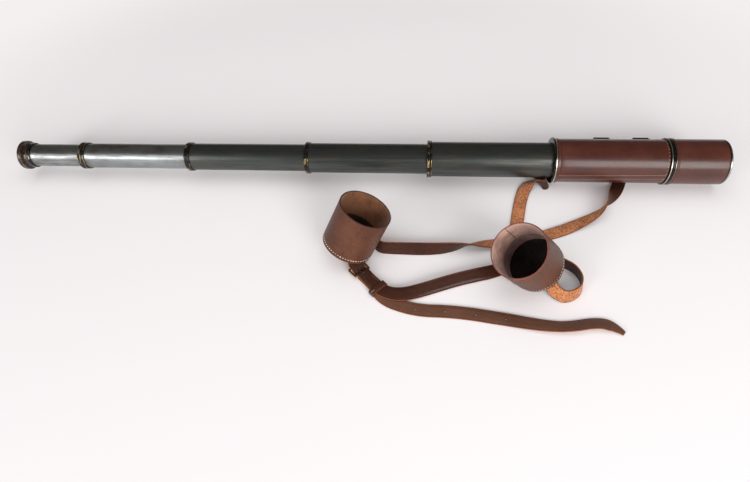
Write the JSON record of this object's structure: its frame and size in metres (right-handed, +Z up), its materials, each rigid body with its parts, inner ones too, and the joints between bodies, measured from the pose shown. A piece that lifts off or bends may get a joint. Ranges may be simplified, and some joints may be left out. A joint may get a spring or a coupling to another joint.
{
  "type": "stalking telescope",
  "caption": "Drawn-out stalking telescope with nested draw tubes, a leather-covered barrel, a sliding sunshade, leather end caps and a buckled carrying sling.",
  "frame": {"origin": "centre of the bounding box's bottom face, on the floor that the part lies on", "axes": "+X along the telescope, from the eyepiece towards the objective; +Z up; the caps and sling lie on the -Y side"},
  "size_m": [1.0104, 0.3048, 0.0917],
  "materials": {
    "nickel": "satin nickel, worn",
    "gunmetal": "oxidised blue-green grey, satin",
    "bronze": "blackened, rubbed bright on its edges",
    "brass": "turned, lacquered",
    "dark_leather": "smooth dark red-brown, polished",
    "cap_leather": "smooth mauve-brown, matt",
    "suede": "soft lining",
    "strap_leather": "brown grain side, tan flesh side",
    "glass": "clear, polished"
  },
  "bodies": {
    "barrel": {"barrel_tube": "brass", "barrel_leather": "dark_leather", "barrel_rear_collar": "bronze", "barrel_bush": "brass", "barrel_front_ring": "bronze", "barrel_rear_keeper": "dark_leather", "barrel_front_keeper": "dark_leather", "objective_cell": "brass", "objective_flint_lens": "glass", "objective_spacer": "brass", "objective_crown_lens": "glass", "objective_retaining_ring": "bronze", "sling_strap": "strap_leather", "buckle_chape": "strap_leather", "buckle_frame": "brass", "tail_keeper": "strap_leather"},
    "sunshade": {"sunshade_tube": "brass", "sunshade_leather": "dark_leather", "sunshade_rear_ring": "bronze", "sunshade_front_ring": "nickel"},
    "draw_5": {"draw_5_tube": "gunmetal", "draw_5_collar": "bronze", "draw_5_bush": "brass", "draw_5_stop_ring": "brass"},
    "draw_4": {"draw_4_tube": "gunmetal", "draw_4_collar": "bronze", "draw_4_bush": "brass", "draw_4_stop_ring": "brass"},
    "draw_3": {"draw_3_tube": "gunmetal", "draw_3_collar": "bronze", "draw_3_bush": "brass", "draw_3_stop_ring": "brass"},
    "draw_2": {"draw_2_tube": "nickel", "draw_2_collar": "bronze", "draw_2_bush": "brass", "draw_2_stop_ring": "brass"},
    "draw_1": {"draw_1_tube": "nickel", "draw_1_stop_ring": "brass", "erector_tube": "brass", "erector_rear_lens": "glass", "erector_stop": "bronze", "erector_front_lens": "glass", "eyecup": "bronze", "eyepiece_cell": "brass", "eye_lens": "glass", "field_stop": "bronze", "field_lens": "glass"},
    "objective_cap": {"objective_cap_wall": "cap_leather", "objective_cap_lining": "suede", "objective_cap_base": "cap_leather", "objective_cap_keeper": "cap_leather"},
    "eyepiece_cap": {"eyepiece_cap_wall": "cap_leather", "eyepiece_cap_lining": "suede", "eyepiece_cap_base": "cap_leather", "eyepiece_cap_keeper": "cap_leather"},
    "tongue": {"buckle_tongue": "brass"}
  },
  "joints": [
    {"name": "draw_5_slide", "type": "slide", "parent": "barrel", "child": "draw_5", "axis": [1, 0, 0], "range_m": [0, 0.165]},
    {"name": "draw_4_slide", "type": "slide", "parent": "draw_5", "child": "draw_4", "axis": [1, 0, 0], "range_m": [0, 0.168]},
    {"name": "draw_3_slide", "type": "slide", "parent": "draw_4", "child": "draw_3", "axis": [1, 0, 0], "range_m": [0, 0.169]},
    {"name": "draw_2_slide", "type": "slide", "parent": "draw_3", "child": "draw_2", "axis": [1, 0, 0], "range_m": [0, 0.153]},
    {"name": "draw_1_focus", "type": "slide", "parent": "draw_2", "child": "draw_1", "axis": [1, 0, 0], "range_m": [-0.07, 0.075]},
    {"name": "sunshade_slide", "type": "slide", "parent": "barrel", "child": "sunshade", "axis": [1, 0, 0], "range_m": [0, 0.045]},
    {"name": "objective_cap_slide", "type": "slide", "parent": "barrel", "child": "objective_cap", "axis": [0.4493, -0.8934, 0], "range_m": [0, 0.006]},
    {"name": "eyepiece_cap_slide", "type": "slide", "parent": "barrel", "child": "eyepiece_cap", "axis": [0.515, -0.8572, 0], "range_m": [0, 0.004]},
    {"name": "tongue_pivot", "type": "hinge", "parent": "barrel", "child": "tongue", "pos_m": [0.0252, -0.07698, 0.0051], "axis": [-0.7071, -0.7071, 0], "range_deg": [0, 5]}
  ]
}
